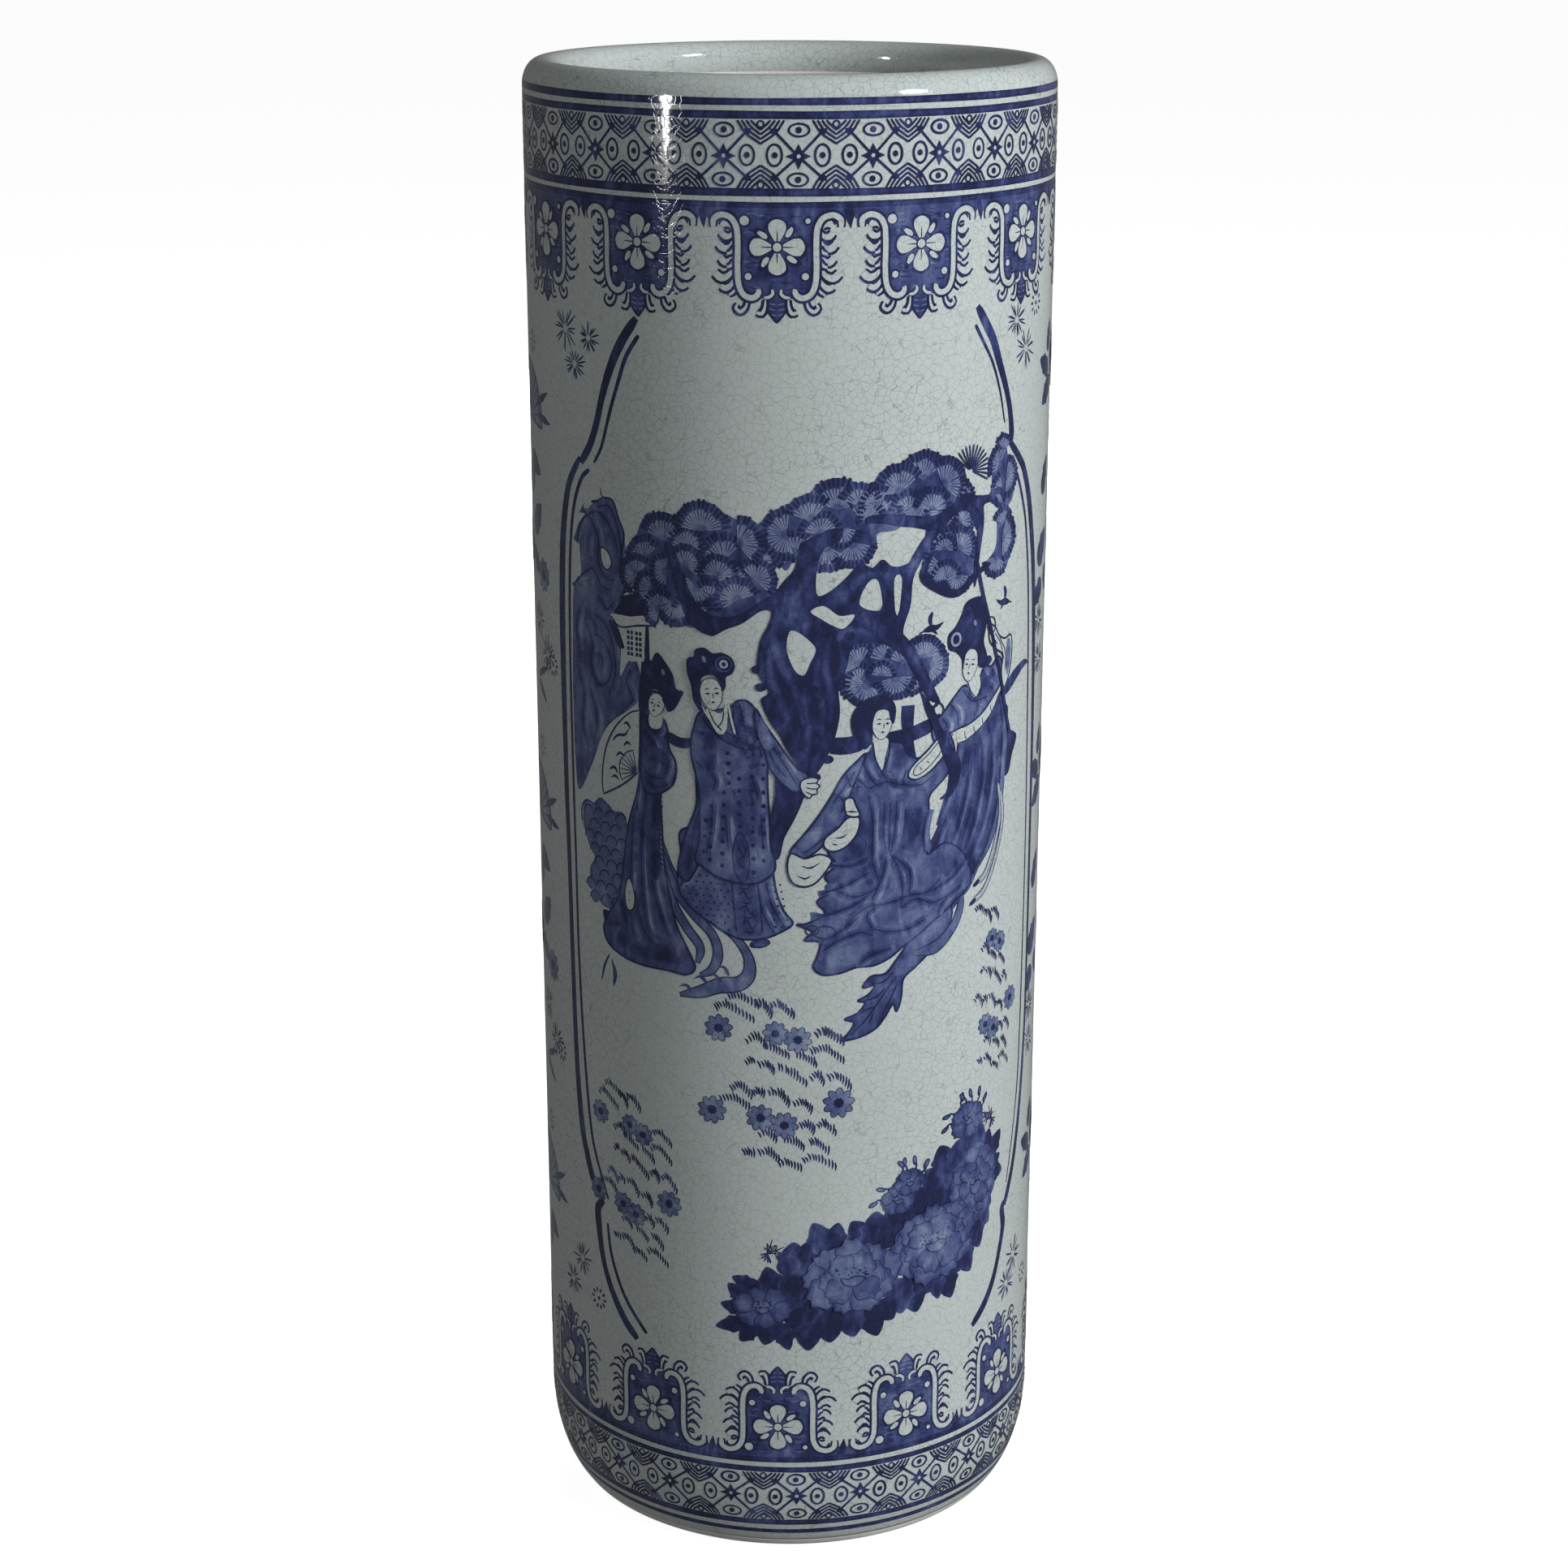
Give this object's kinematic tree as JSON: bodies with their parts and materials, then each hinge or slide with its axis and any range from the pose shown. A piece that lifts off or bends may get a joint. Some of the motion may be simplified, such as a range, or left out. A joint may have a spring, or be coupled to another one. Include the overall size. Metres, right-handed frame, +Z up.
{
  "type": "umbrella stand",
  "caption": "Tall cylindrical glazed ceramic umbrella stand, open at the top, with a rolled lip, a rounded foot and felt pads underneath.",
  "frame": {"origin": "on the floor, under the middle of the stand, in the plane of the felt pads' undersides", "axes": "+Z up the stand's axis; -Y towards a person facing the front painted panel; +X to that person's right"},
  "size_m": [0.211, 0.211, 0.61],
  "materials": {
    "glaze": "glossy grey-white crackle glaze over cobalt blue brushwork",
    "bare_clay": "unglazed off-white fired clay, matt",
    "felt": "dense brown wool felt"
  },
  "bodies": {
    "root": {"rim_lip": "glaze", "wall": "glaze", "base_disc": "glaze", "foot_ring": "bare_clay", "felt_pad_1": "felt", "felt_pad_2": "felt", "felt_pad_3": "felt", "felt_pad_4": "felt"}
  },
  "joints": []
}
